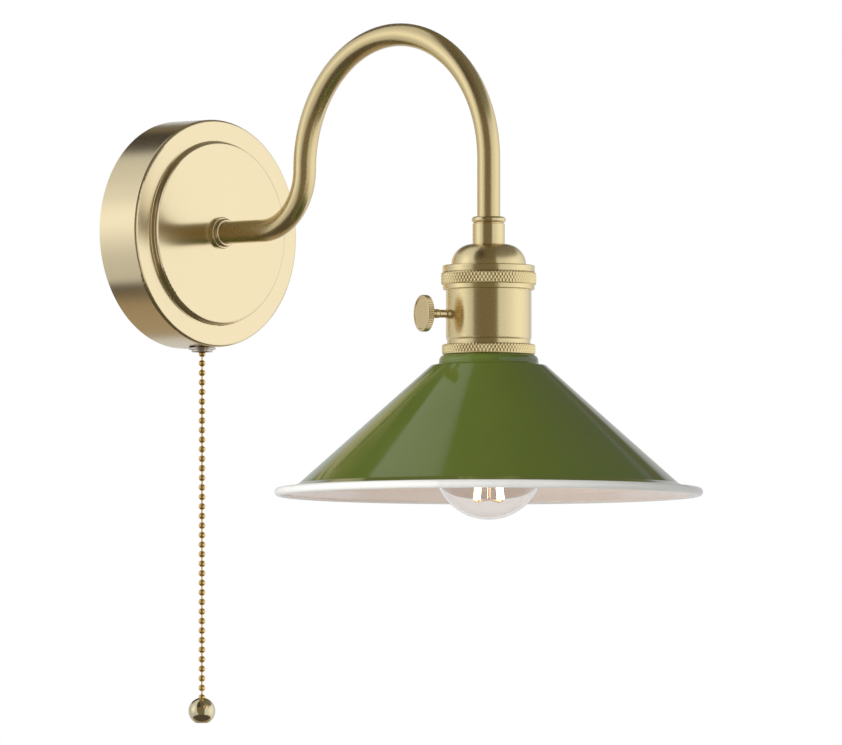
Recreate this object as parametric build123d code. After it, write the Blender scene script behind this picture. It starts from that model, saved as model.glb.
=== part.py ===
from build123d import *

import math
import os

# Gooseneck wall sconce, in millimetres. The origin is the middle of the wall plate's back, on the wall.
# -Y points out of the wall, +X to the right and +Z up. Turned pieces are drawn as (radius, height) outlines.

# Fits and clearances
RUN_FIT = 0.05  # radial clearance of a shaft in its bearing
LOOSE_FIT = 0.2  # radial clearance of a screw or tube in its hole
AIR_GAP = 0.3  # gap between faces that pass each other
SEAT_STEP = 0.2  # shadow step between two turned rings that are screwed together
SMALL_EDGE_R = 0.3  # rounding of a turned piece's small edges
SOFT_EDGE_R = 0.5  # rounding of its softer edges
BEAD_SHARE = 0.9  # share of a bead's half height that its rounding takes

# Wall plate: a spun brass drum with a raised middle disc
CANOPY_R = 50.0
CANOPY_DEPTH = 22.5
CANOPY_WALL = 1.2
CANOPY_EDGE_R = 1.3
CANOPY_INNER_EDGE_R = 0.4
DISC_R = 40.3
DISC_RISE = 2.8
DISC_EDGE_R = 1.5
DISC_FOOT_R = 0.5

# Wall bracket: a strap with two ears and a cross bar
BRACKET_T = 2.0
BRACKET_W = 20.0
BRACKET_BEND_R = 1.0
BRACKET_SLACK = 0.5
EAR_DEPTH = 6.2
CROSS_BAR_L = 68.0
CROSS_BAR_H = 13.0
CROSS_BAR_END_R = 3.0
SLOT_SPACING = 60.0
SLOT_L = 12.0
SLOT_W = 4.5
CABLE_HOLE_R = 5.5
CABLE_HOLE_Z = 13.5
CANOPY_SCREW_R = 1.5
CANOPY_SCREW_L = 5.0
CANOPY_SCREW_Y = 3.9
CANOPY_SCREW_SINK = 0.15
HEX_SOCKET_AF = 1.5
HEX_SOCKET_DEPTH = 1.6
EARTH_SCREW_X = -21.0
EARTH_SCREW_R = 2.0
EARTH_SCREW_L = 9.0
EARTH_HEAD_R = 3.8
EARTH_HEAD_H = 2.4
EARTH_WASHER_R = 4.6
EARTH_WASHER_T = 0.8

# Terminal block on the cross bar
BLOCK_X = 21.0
BLOCK_W = 16.0
BLOCK_DEPTH = 12.0
POLE_PITCH = 8.0
POLE_COUNT = 3
BLOCK_EDGE_R = 1.0
TERMINAL_R = 2.4
TERMINAL_BORE_R = 1.5
TERMINAL_SCREW_R = 1.3
TERMINAL_SCREW_OFFSET = 4.5
TERMINAL_SCREW_SINK = 1.0
BLOCK_SCREW_R = 1.3
BLOCK_SCREW_HEAD_R = 2.2
BLOCK_SCREW_HEAD_H = 1.4
BLOCK_SCREW_TIP = 0.6

# Arm: a bent brass tube with threaded ends
ARM_R = 5.0
ARM_WALL = 1.2
ARM_BEND_R = 25.9
ARM_LEG_OUT = 77.2
ARM_ARCH_R = 56.4
ARM_DROP = 25.2
ARM_INSIDE_L = 7.2
ARM_PAST_NUT = 0.5
COLLAR_R = 7.0
COLLAR_T = 1.7
COLLAR_BEAD_R = 6.3
COLLAR_BEAD_T = 2.0
LOCKNUT_AF = 14.0
LOCKNUT_T = 2.8
LOCK_WASHER_R = 8.0
LOCK_WASHER_T = 0.7
LOCK_WASHER_TEETH = 12
LOCK_WASHER_TOOTH = 1.2

# Lamp flex inside the arm and the single wires at its ends
FLEX_R = 2.7
FLEX_OUT = 3.0
WIRE_R = 0.85
WIRE_OFFSET = 1.02
WIRE_REACH = 3.0
WIRE_BEND_R = 2.4
HOLDER_WIRE_BEND_R = 1.5

# Pull switch inside the wall plate
SWITCH_OUT = 13.4
SWITCH_W = 18.0
SWITCH_THICK = 13.2
SWITCH_H = 22.0
SWITCH_WALL = 1.5
SWITCH_COVER_T = 1.5
SWITCH_FLOOR_GAP = 1.4
SWITCH_RIVET_R = 0.8
SWITCH_RIVET_INSET = 1.9
NOZZLE_R = 4.0
NOZZLE_BORE_R = 2.2
NOZZLE_FLANGE_R = 5.6
NOZZLE_TAIL = 1.6
RING_NUT_R = 5.95
RING_NUT_T = 1.0
RING_LIP_R = 4.65
RING_LIP_T = 1.1
RING_MOUTH_R = 2.6
SPOOL_R = 2.7
SPOOL_FLANGE_R = 3.2
SPOOL_L = 6.0
SPOOL_FLANGE_T = 0.8
SPOOL_AXLE_R = 1.0
SPOOL_DROP = 11.0
SWITCH_CONTACT_T = 0.5
SWITCH_CONTACT_W = 3.0
SPRING_WIRE_R = 0.25
SPRING_COIL_R = 1.8
SPRING_TURNS = 2
SPRING_PITCH = 0.6

# Ball chain and its pull
BEAD_R = 1.5
BEAD_PITCH = 4.2
BEAD_COUNT = 37
CHAIN_LINK_R = 0.35
CHAIN_LEAD_R = 0.5
FIRST_BEAD_DROP = 0.7
PULL_BALL_R = 5.9
PULL_BALL_CUT = 5.3
PULL_BALL_UNDER = 5.9

# Lampholder: neck, dome cap, union ring and shell, stacked down from the neck's top
NECK_RING_R = 7.4
NECK_RING_H = 2.6
NECK_GROOVE_R = 6.6
NECK_GROOVE_H = 0.4
NECK_R = 7.0
NECK_H = 8.9
DOME_R = 16.25
DOME_CORNER_R = 9.0
DOME_H = 9.2
DOME_WALL = 1.5
CAP_COLLAR_R = 20.0
CAP_COLLAR_H = 3.0
UNION_R = 20.65
UNION_H = 5.2
UNION_LIP_R = 19.85
UNION_LIP_H = 2.2
UNION_THREAD_R = 19.25
UNION_CHAMFER = 0.5
KNURL_TEETH = 84
KNURL_DEPTH = 0.3
FLUTE_LAND = 0.3
HOLDER_NUT_AF = 12.0
HOLDER_NUT_T = 2.2
SHELL_R = 18.55
SHELL_H = 21.0
SHELL_FOOT_R = 1.2
SHELL_FLANGE_T = 0.9
SHELL_BORE_R = 17.0
SKIRT_R = 18.1
SKIRT_STEP_H = 0.8
SKIRT_SHOW_H = 1.9
SKIRT_BELOW = 9.6
SKIRT_THREAD_PITCH = 1.5
SKIRT_THREAD_DEPTH = 0.35
SKIRT_THREAD_TURNS = 5
LINER_T = 0.6

# Lampholder's inside
CORE_GAP = 0.1
CORE_H = 19.8
CORE_TOP_DROP = 1.2
CORE_SKIRT_BORE_R = 14.7
CORE_SKIRT_SHORT = 1.0
CORE_CONTACT_R = 4.0
CORE_CONTACT_T = 0.8
CORE_RIVET_R = 1.2
POST_X = 8.5
POST_W = 6.0
POST_H = 5.0
POST_SCREW_R = 1.5
POST_SCREW_HEAD_R = 2.5
POST_SCREW_HEAD_H = 1.6
POST_HOLE_R = 1.1

# Turn switch on the side of the lampholder
KEY_TURN = 20.0
KEY_BELOW_UNION = 10.8
KEY_CHAMBER_R = 5.0
KEY_CHAMBER_PAST = 5.0
KEY_SPINDLE_R = 1.1
KEY_CAM_R = 3.9
KEY_CAM_FLAT = 2.6
KEY_CAM_L = 9.0
KEY_CAM_PAST = 3.5
KEY_BUSH_R = 2.1
KEY_BUSH_OUT = 1.9
KEY_BUSH_FLANGE_R = 3.4
KEY_BUSH_FLANGE_T = 1.0
KEY_BUSH_INSIDE = 1.4
KNOB_OUT = 32.4
KNOB_R = 7.95
KNOB_T = 2.9
KNOB_EDGE_R = 0.5
KNOB_FLUTES = 56
KNOB_FLUTE_DEPTH = 0.25
KNOB_FACE_STEP = 0.3
KNOB_FACE_RIM = 1.1
KNOB_HUB_R = 2.3
KNOB_HUB_L = 3.4
KNOB_NECK_R = 1.75
KNOB_BEAD_R = 2.0
KNOB_BEAD_L = 1.8
KNOB_BEAD_EDGE_R = 0.4
KNOB_HUB_FLARE = 0.8
KEY_LEAF_T = 0.4
KEY_LEAF_W = 4.0
KEY_LEAF_L = 7.0
KEY_SPINDLE_TAIL = 2.0

# Shade rings and the shade
SHADE_RING_R = 20.3
SHADE_RING_H = 4.5
SHADE_RING_CHAMFER = 0.7
INNER_RING_R = 19.9
INNER_RING_H = 4.4
SHADE_T = 1.1
SHADE_NECK_R = 21.5
SHADE_NECK_CORNER_R = 2.5
SHADE_NECK_H = 4.3
SHADE_FOOT_R = 1.2
SHADE_SHOULDER_R = 24.6
SHADE_SHOULDER_FILLET = 2.0
SHADE_CONE_R = 82.3
SHADE_CONE_H = 51.5
SHADE_BRIM_FILLET = 1.2
SHADE_BRIM_R = 91.0
SHADE_BRIM_H = 3.6
SHADE_BEAD_R = 1.8

# E27 screw thread of lampholder and bulb, and the bulb
THREAD_PITCH = 3.629
THREAD_MEAN_R = 12.6
THREAD_WAVE = 0.48
THREAD_CLEARANCE = 0.3
THREAD_STEPS = 8
SCREW_SHELL_T = 0.5
SCREW_SHELL_H = 20.5
BULB_R = 24.0
BULB_LENGTH = 81.0
BULB_NECK_R = 12.5
BULB_NECK_FILLET = 14.0
BULB_GLASS_T = 0.8
BULB_TIP_R = 4.6
BULB_TIP_H = 1.4
BULB_INSULATOR_H = 2.8
BULB_THREAD_H = 16.6
BULB_CAP_T = 0.5
BULB_CAP_FLARE_R = 13.5
BULB_CAP_FLARE_H = 5.0
BULB_DRIVER_R = 8.0
BULB_DRIVER_H = 8.0
STEM_FLARE_H = 8.0
STEM_R = 2.4
STEM_H = 20.0
STEM_ROD_R = 0.6
FILAMENT_COUNT = 4
FILAMENT_R = 0.9
FILAMENT_L = 27.0
FILAMENT_TOP_R = 3.2
FILAMENT_BOTTOM_R = 7.4
FILAMENT_TURN = 6.0
FILAMENT_ABOVE_END = 8.4
SUPPORT_WIRE_R = 0.25

# Places worked out from the sizes above
OUT = Rotation(90, 0, 0)  # turns a piece's own height axis to point out of the wall
HOLDER_OUT = ARM_LEG_OUT + 2 * ARM_ARCH_R
DISC_FACE = CANOPY_DEPTH + DISC_RISE
CANOPY_BORE_R = CANOPY_R - CANOPY_WALL
EAR_TOP = math.sqrt((CANOPY_BORE_R - BRACKET_SLACK) ** 2 - (BRACKET_W / 2) ** 2)
BLOCK_H = POLE_PITCH * POLE_COUNT
ARM_START = DISC_FACE - CANOPY_WALL - ARM_INSIDE_L
NECK_TOP_Z = ARM_BEND_R - ARM_DROP

DOME_TOP = -(NECK_RING_H + NECK_GROOVE_H + NECK_H)
ARM_END_DROP = -DOME_TOP + DOME_WALL + HOLDER_NUT_T + ARM_PAST_NUT
COLLAR_TOP = DOME_TOP - DOME_H
UNION_TOP = COLLAR_TOP - CAP_COLLAR_H - SEAT_STEP
UNION_LIP = UNION_TOP - UNION_H
UNION_BOTTOM = UNION_LIP - UNION_LIP_H
SHELL_FLANGE_BOTTOM = UNION_LIP + SHELL_FLANGE_T / 2
SHELL_TOP = SHELL_FLANGE_BOTTOM + SHELL_FLANGE_T
SHELL_BOTTOM = UNION_BOTTOM - SHELL_H
SHADE_RING_TOP = SHELL_BOTTOM - SKIRT_STEP_H - SKIRT_SHOW_H
SHADE_TOP = SHADE_RING_TOP - SHADE_RING_H
INNER_RING_TOP = SHADE_TOP - SHADE_T
SKIRT_BOTTOM = INNER_RING_TOP - INNER_RING_H - SKIRT_BELOW
LINER_R = SHELL_BORE_R - CORE_GAP
CORE_R = LINER_R - LINER_T - CORE_GAP
CORE_TOP = SHELL_TOP - CORE_TOP_DROP
CORE_FLOOR = CORE_TOP - CORE_H
CORE_BOTTOM = SKIRT_BOTTOM + CORE_SKIRT_SHORT
BULB_TOP = CORE_FLOOR - CORE_CONTACT_T - AIR_GAP
BULB_THREAD_TOP = BULB_TOP - BULB_TIP_H - BULB_INSULATOR_H
BULB_THREAD_BOTTOM = BULB_THREAD_TOP - BULB_THREAD_H
BULB_CENTRE = BULB_TOP - BULB_LENGTH + BULB_R
KEY_Z = UNION_BOTTOM - KEY_BELOW_UNION
KNOB_BACK = KNOB_OUT - KNOB_T
SHELL_FACE_OUT = SHELL_R + KEY_BUSH_OUT

SWITCH_BOTTOM = -(CANOPY_BORE_R - SWITCH_FLOOR_GAP)
NOZZLE_SEAT = -math.sqrt(CANOPY_BORE_R**2 - NOZZLE_FLANGE_R**2) + RUN_FIT
MOUTH_Z = -CANOPY_R - RING_NUT_T - RING_LIP_T
FIRST_BEAD_Z = MOUTH_Z - FIRST_BEAD_DROP
LEAD_TOP = SWITCH_BOTTOM + SWITCH_H - SPOOL_DROP
SPOOL_X = -(SPOOL_R + CHAIN_LEAD_R + RUN_FIT)

nodes = {}


def keep(name, *solids):
    """Stores one sub-part, made of one or more separate solids."""
    flat = [solid for shape in solids for solid in shape.solids()]
    nodes[name] = flat[0] if len(flat) == 1 else Compound(children=flat)


def turned(*corners):
    """Turns a closed outline about Z. A corner is (radius, height) or (radius, height, fillet)."""
    points = [(corner[0], 0, corner[1]) for corner in corners]
    fillets = [corner[2] if len(corner) > 2 else 0 for corner in corners]
    outline = FilletPolyline(*points, radius=fillets, close=True)
    return revolve(make_face(outline), Axis.Z, 360)


def ring(bore_r, outer_r, low, high, edge=0.0):
    """A plain turned ring, its outer edges rounded if asked."""
    return turned((bore_r, low), (outer_r, low, edge), (outer_r, high, edge), (bore_r, high))


def rod(radius, low, high):
    """A straight round rod along Z, from one height to the other."""
    return Pos(0, 0, low) * Cylinder(radius, high - low, align=(Align.CENTER, Align.CENTER, Align.MIN))


def hex_nut(across_flats, bore_r, low, high):
    """A hexagonal nut along Z."""
    outline = RegularPolygon(across_flats / 2, 6, major_radius=False) - Circle(bore_r)
    return extrude(Pos(0, 0, low) * outline, high - low)


def fluted(radius, depth, count, low, high):
    """A toothed bar along Z, to cross with a turned blank so that it gets straight flutes."""
    corners = []
    for index in range(2 * count):
        reach = radius + FLUTE_LAND * depth if index % 2 == 0 else radius - depth
        turn = math.pi * index / count
        corners.append((reach * math.cos(turn), reach * math.sin(turn), low))
    return extrude(make_face(Polyline(*corners, close=True)), high - low)


def tube_along(path, radius, bore_r=0.0):
    """A round rod or tube swept along a path of straight runs and arcs."""
    start = Plane(origin=path @ 0, z_dir=path % 0)
    section = start * Circle(radius)
    if bore_r:
        section -= start * Circle(bore_r)
    return sweep(section, path)


def wire(points, bend_r):
    """One insulated wire through the given points."""
    return tube_along(FilletPolyline(*points, radius=bend_r), WIRE_R)


def at_holder(shape):
    """Moves a piece drawn about Z with 0 at the neck's top to its place under the arm."""
    return Pos(0, -HOLDER_OUT, NECK_TOP_Z) * shape


def key_place():
    """The turn switch's own place: height runs from the lampholder's axis out to the knob."""
    turn = math.radians(KEY_TURN)
    outwards = (-math.cos(turn), math.sin(turn), 0)
    centre = (0, -HOLDER_OUT, NECK_TOP_Z + KEY_Z)
    return Plane(origin=centre, x_dir=(0, 0, 1), z_dir=outwards).location


def canopy():
    """The drum: thin spun brass, open to the wall."""
    inner_r = CANOPY_BORE_R
    inner_front = CANOPY_DEPTH - CANOPY_WALL
    shell = turned(
        (ARM_R + LOOSE_FIT, DISC_FACE),
        (DISC_R, DISC_FACE, DISC_EDGE_R),
        (DISC_R, CANOPY_DEPTH, DISC_FOOT_R),
        (CANOPY_R, CANOPY_DEPTH, CANOPY_EDGE_R),
        (CANOPY_R, 0),
        (inner_r, 0),
        (inner_r, inner_front, CANOPY_INNER_EDGE_R),
        (DISC_R - CANOPY_WALL, inner_front, CANOPY_INNER_EDGE_R),
        (DISC_R - CANOPY_WALL, DISC_FACE - CANOPY_WALL, CANOPY_INNER_EDGE_R),
        (ARM_R + LOOSE_FIT, DISC_FACE - CANOPY_WALL),
    )
    shell = OUT * shell
    screw_hole = rod(CANOPY_SCREW_R + LOOSE_FIT, -CANOPY_R - 1, CANOPY_R + 1)
    shell -= Pos(0, -CANOPY_SCREW_Y, 0) * screw_hole
    nozzle_hole = rod(NOZZLE_R + LOOSE_FIT, -CANOPY_R - 1, -CANOPY_R / 2)
    return shell - Pos(0, -SWITCH_OUT, 0) * nozzle_hole


def wall_bracket():
    """A pressed strap: two wall slots, two tapped ears, a cable hole and a cross bar."""
    corners = [
        (0, -EAR_TOP),
        (0, EAR_TOP),
        (-EAR_DEPTH, EAR_TOP),
        (-EAR_DEPTH, EAR_TOP - BRACKET_T),
        (-BRACKET_T, EAR_TOP - BRACKET_T),
        (-BRACKET_T, -EAR_TOP + BRACKET_T),
        (-EAR_DEPTH, -EAR_TOP + BRACKET_T),
        (-EAR_DEPTH, -EAR_TOP),
    ]
    bends = [BRACKET_BEND_R, BRACKET_BEND_R, 0, 0, 0, 0, 0, 0]
    outline = FilletPolyline(*[(0, y, z) for y, z in corners], radius=bends, close=True)
    strap = extrude(make_face(outline), BRACKET_W / 2, dir=(1, 0, 0), both=True)
    bar_face = Plane.XZ * RectangleRounded(CROSS_BAR_L, CROSS_BAR_H, CROSS_BAR_END_R)
    strap += extrude(bar_face, BRACKET_T, dir=(0, -1, 0))
    slot = Plane.XZ * (Rot(0, 0, 90) * SlotOverall(SLOT_L, SLOT_W))
    slot_cut = extrude(slot, BRACKET_T + 1, dir=(0, -1, 0))
    for side in (-1, 1):
        strap -= Pos(0, 0.5, side * SLOT_SPACING / 2) * slot_cut
    strap -= Pos(0, 0, CABLE_HOLE_Z) * (OUT * rod(CABLE_HOLE_R, -1, BRACKET_T + 1))
    strap -= Pos(EARTH_SCREW_X, 0, 0) * (OUT * rod(EARTH_SCREW_R + RUN_FIT, -1, BRACKET_T + 1))
    block_screw_place = Pos(BLOCK_X, 0, -POLE_PITCH / 2)
    strap -= block_screw_place * (OUT * rod(BLOCK_SCREW_R + RUN_FIT, -1, BRACKET_T + 1))
    ear_hole = rod(CANOPY_SCREW_R + RUN_FIT, -CANOPY_R, CANOPY_R)
    return strap - Pos(0, -CANOPY_SCREW_Y, 0) * ear_hole


def canopy_screws():
    """Two grub screws, top and bottom, that hold the drum to the bracket's ears."""
    top = CANOPY_R - CANOPY_SCREW_SINK
    screw = rod(CANOPY_SCREW_R, top - CANOPY_SCREW_L, top)
    socket = extrude(Pos(0, 0, top) * RegularPolygon(HEX_SOCKET_AF / 2, 6, major_radius=False), -HEX_SOCKET_DEPTH)
    screw -= socket
    place = Pos(0, -CANOPY_SCREW_Y, 0)
    return place * screw, place * (Rot(180, 0, 0) * screw)


def earth_terminal():
    """The earth screw on the bracket, with its washer."""
    washer_top = BRACKET_T + EARTH_WASHER_T
    tip = washer_top + EARTH_HEAD_H - EARTH_SCREW_L
    tip = max(tip, 0.0)
    screw = rod(EARTH_SCREW_R, tip, washer_top) + rod(EARTH_HEAD_R, washer_top, washer_top + EARTH_HEAD_H)
    screw -= Pos(0, 0, washer_top + EARTH_HEAD_H) * Box(2 * EARTH_HEAD_R + 1, 1, EARTH_HEAD_H)
    washer = ring(EARTH_SCREW_R + RUN_FIT, EARTH_WASHER_R, BRACKET_T, washer_top)
    place = Pos(EARTH_SCREW_X, 0, 0) * OUT
    keep("earth_screw", place * screw)
    keep("earth_washer", place * washer)


def terminal_block():
    """A plastic terminal block with brass tubes, its clamp screws and the screw that holds it."""
    face = BRACKET_T + BLOCK_DEPTH
    block = Box(BLOCK_W, BLOCK_DEPTH, BLOCK_H)
    block = fillet(block.edges().filter_by(Axis.Y), BLOCK_EDGE_R)
    block = Pos(BLOCK_X, -BRACKET_T - BLOCK_DEPTH / 2, 0) * block
    middle = BRACKET_T + BLOCK_DEPTH / 2
    tubes = []
    screws = []
    for pole in range(POLE_COUNT):
        z = (pole - (POLE_COUNT - 1) / 2) * POLE_PITCH
        bore = Pos(BLOCK_X, -middle, z) * (Rot(0, 90, 0) * rod(TERMINAL_R + RUN_FIT, -BLOCK_W, BLOCK_W))
        block -= bore
        tube = Rot(0, 90, 0) * ring(TERMINAL_BORE_R, TERMINAL_R, -BLOCK_W / 2 + 1, BLOCK_W / 2 - 1)
        tube = Pos(BLOCK_X, -middle, z) * tube
        for side in (-1, 1):
            place = Pos(BLOCK_X + side * TERMINAL_SCREW_OFFSET, 0, z) * OUT
            block -= place * rod(TERMINAL_SCREW_R + LOOSE_FIT, middle, face + 1)
            tube -= place * rod(TERMINAL_SCREW_R + RUN_FIT, middle, face)
            screw = rod(TERMINAL_SCREW_R, middle + WIRE_R + AIR_GAP, face - TERMINAL_SCREW_SINK)
            screw -= Pos(0, 0, face - TERMINAL_SCREW_SINK) * Box(3 * TERMINAL_SCREW_R, 0.5, 1.2)
            screws.append(place * screw)
        tubes.append(tube)
    place = Pos(BLOCK_X, 0, -POLE_PITCH / 2) * OUT
    head = face - BLOCK_SCREW_HEAD_H
    block -= place * rod(BLOCK_SCREW_R + LOOSE_FIT, BRACKET_T, face + 1)
    block -= place * rod(BLOCK_SCREW_HEAD_R + LOOSE_FIT, head, face + 1)
    screw = rod(BLOCK_SCREW_R, BLOCK_SCREW_TIP, head) + rod(BLOCK_SCREW_HEAD_R, head, face)
    screw -= Pos(0, 0, face) * Box(3 * BLOCK_SCREW_HEAD_R, 0.6, 1.4)
    keep("terminal_block", block)
    keep("terminal_tubes", *tubes)
    keep("terminal_screws", *screws)
    keep("block_screw", place * screw)


def arm_path(start_out, end_drop):
    """The arm's middle line: straight out, a bend up, the arch, then straight down."""
    leg = -ARM_LEG_OUT
    bend_start = (0, leg + ARM_BEND_R, 0)
    bend_end = (0, leg, ARM_BEND_R)
    arch_end = (0, -HOLDER_OUT, ARM_BEND_R)
    arch_top = (0, leg - ARM_ARCH_R, ARM_BEND_R + ARM_ARCH_R)
    turn = math.sqrt(0.5) * ARM_BEND_R
    bend_middle = (0, leg + ARM_BEND_R - turn, ARM_BEND_R - turn)
    stub = Line((0, -start_out, 0), bend_start)
    bend = ThreePointArc(bend_start, bend_middle, bend_end)
    arch = ThreePointArc(bend_end, arch_top, arch_end)
    drop = Line(arch_end, (0, -HOLDER_OUT, NECK_TOP_Z - end_drop))
    return Wire([*stub.edges(), *bend.edges(), *arch.edges(), *drop.edges()])


def arm():
    """The bent tube, the collar at the wall plate, and the nuts and washer that hold its ends."""
    keep("arm_tube", tube_along(arm_path(ARM_START, ARM_END_DROP), ARM_R, ARM_R - ARM_WALL))
    bead_top = DISC_FACE + COLLAR_T + COLLAR_BEAD_T
    bore = ARM_R + RUN_FIT
    collar = turned(
        (bore, DISC_FACE),
        (COLLAR_R, DISC_FACE),
        (COLLAR_R, DISC_FACE + COLLAR_T, SOFT_EDGE_R),
        (COLLAR_BEAD_R, DISC_FACE + COLLAR_T),
        (COLLAR_BEAD_R, bead_top, BEAD_SHARE * (COLLAR_BEAD_R - bore)),
        (bore, bead_top),
    )
    keep("arm_collar", OUT * collar)
    washer_front = DISC_FACE - CANOPY_WALL
    washer = ring(bore, LOCK_WASHER_R, washer_front - LOCK_WASHER_T, washer_front)
    notch_place = LOCK_WASHER_R - LOCK_WASHER_TOOTH / 2
    notch = Pos(notch_place, 0, washer_front) * Box(2 * LOCK_WASHER_TOOTH, LOCK_WASHER_TOOTH, 4 * LOCK_WASHER_T)
    for index in range(LOCK_WASHER_TEETH):
        washer -= Rot(0, 0, index * 360 / LOCK_WASHER_TEETH) * notch
    keep("arm_lock_washer", OUT * washer)
    nut_front = washer_front - LOCK_WASHER_T
    keep("arm_locknut", OUT * hex_nut(LOCKNUT_AF, bore, nut_front - LOCKNUT_T, nut_front))


def flex_and_wires():
    """The two-core flex through the arm, and the single wires from its ends and to the pull switch."""
    flex_start = ARM_START - FLEX_OUT
    flex_end = ARM_END_DROP + FLEX_OUT
    keep("lamp_flex", tube_along(arm_path(flex_start, flex_end), FLEX_R))
    middle = BRACKET_T + BLOCK_DEPTH / 2
    block_left = BLOCK_X - BLOCK_W / 2
    block_right = BLOCK_X + BLOCK_W / 2
    inside = TERMINAL_SCREW_OFFSET / 2
    wires = []
    for side in (0, 1):
        z = WIRE_OFFSET * (2 * side - 1)
        pole_z = side * POLE_PITCH
        points = [
            (0, -flex_start, z),
            (0, -middle, z),
            (block_left - WIRE_REACH, -middle, pole_z),
            (block_left + inside, -middle, pole_z),
        ]
        wires.append(wire(points, WIRE_BEND_R))
    keep("canopy_wires", *wires)
    case_top = SWITCH_BOTTOM + SWITCH_H
    out = -SWITCH_OUT
    corner_z = -BLOCK_H / 2 - WIRE_REACH
    switch_live = [
        (-WIRE_REACH, out, case_top),
        (-WIRE_REACH, out, -POLE_PITCH - WIRE_REACH),
        (WIRE_REACH, -middle, -POLE_PITCH),
        (block_left + inside, -middle, -POLE_PITCH),
    ]
    lamp_live = [
        (WIRE_REACH, out, case_top),
        (WIRE_REACH, out, corner_z - WIRE_REACH),
        (block_right + 2 * WIRE_REACH, -middle, corner_z),
        (block_right + 2 * WIRE_REACH, -middle, 0),
        (block_right - inside, -middle, 0),
    ]
    keep("switch_wires", wire(switch_live, WIRE_BEND_R), wire(lamp_live, WIRE_BEND_R))
    holder_wires = []
    for side in (-1, 1):
        points = [
            (side * WIRE_OFFSET, 0, -flex_end),
            (side * WIRE_OFFSET, 0, -flex_end - WIRE_REACH),
            (side * POST_X, 0, CORE_TOP + POST_H + WIRE_REACH),
            (side * POST_X, 0, CORE_TOP + POST_H / 2),
        ]
        holder_wires.append(at_holder(wire(points, HOLDER_WIRE_BEND_R)))
    keep("holder_wires", *holder_wires)


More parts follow.
